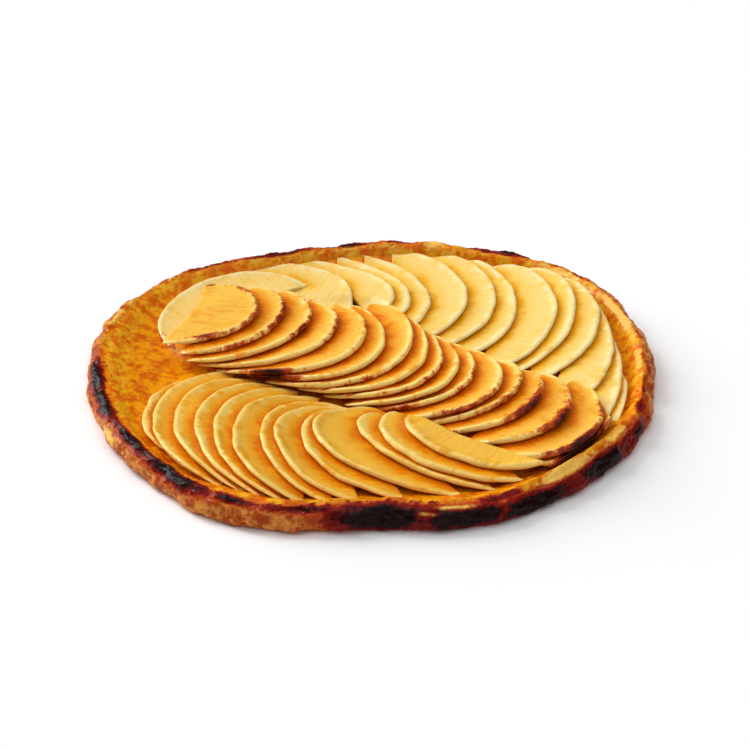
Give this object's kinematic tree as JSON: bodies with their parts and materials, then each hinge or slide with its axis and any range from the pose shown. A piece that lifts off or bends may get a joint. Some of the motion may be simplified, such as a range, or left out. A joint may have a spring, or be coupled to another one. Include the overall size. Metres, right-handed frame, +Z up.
{
  "type": "thin apple tart",
  "caption": "Thin round apple tart: fans of thin baked apple slices on a flat pastry base with a low, craggy, unevenly browned rim.",
  "frame": {"origin": "on the table, under the middle of the tart's box", "axes": "+Z up; +X to the right and +Y away, as seen from the tart's front"},
  "size_m": [0.2164, 0.208, 0.0157],
  "materials": {
    "pastry": "baked, with a thin glaze",
    "apple_pale": "glazed, pale cream",
    "apple_golden": "glazed, golden",
    "apple_browned": "glazed, orange with browned edges"
  },
  "bodies": {
    "root": {"crust": "pastry", "slice_upper_1": "apple_pale", "slice_upper_2": "apple_pale", "slice_upper_3": "apple_pale", "slice_upper_4": "apple_pale", "slice_upper_5": "apple_pale", "slice_upper_6": "apple_pale", "slice_upper_7": "apple_pale", "slice_upper_8": "apple_pale", "slice_upper_9": "apple_pale", "slice_upper_10": "apple_pale", "slice_upper_11": "apple_pale", "slice_upper_12": "apple_pale", "slice_upper_13": "apple_pale", "slice_upper_14": "apple_pale", "slice_lower_1": "apple_golden", "slice_lower_2": "apple_golden", "slice_lower_3": "apple_golden", "slice_lower_4": "apple_golden", "slice_lower_5": "apple_golden", "slice_lower_6": "apple_golden", "slice_lower_7": "apple_golden", "slice_lower_8": "apple_golden", "slice_lower_9": "apple_golden", "slice_lower_10": "apple_golden", "slice_lower_11": "apple_golden", "slice_lower_12": "apple_golden", "slice_lower_13": "apple_golden", "slice_middle_1": "apple_browned", "slice_middle_2": "apple_browned", "slice_middle_3": "apple_browned", "slice_middle_4": "apple_browned", "slice_middle_5": "apple_browned", "slice_middle_6": "apple_browned", "slice_middle_7": "apple_browned", "slice_middle_8": "apple_browned", "slice_middle_9": "apple_browned", "slice_middle_10": "apple_browned", "slice_middle_11": "apple_browned", "slice_middle_12": "apple_browned", "slice_middle_13": "apple_browned", "slice_middle_14": "apple_browned", "slice_middle_15": "apple_browned", "slice_middle_16": "apple_browned", "slice_middle_17": "apple_browned"}
  },
  "joints": []
}
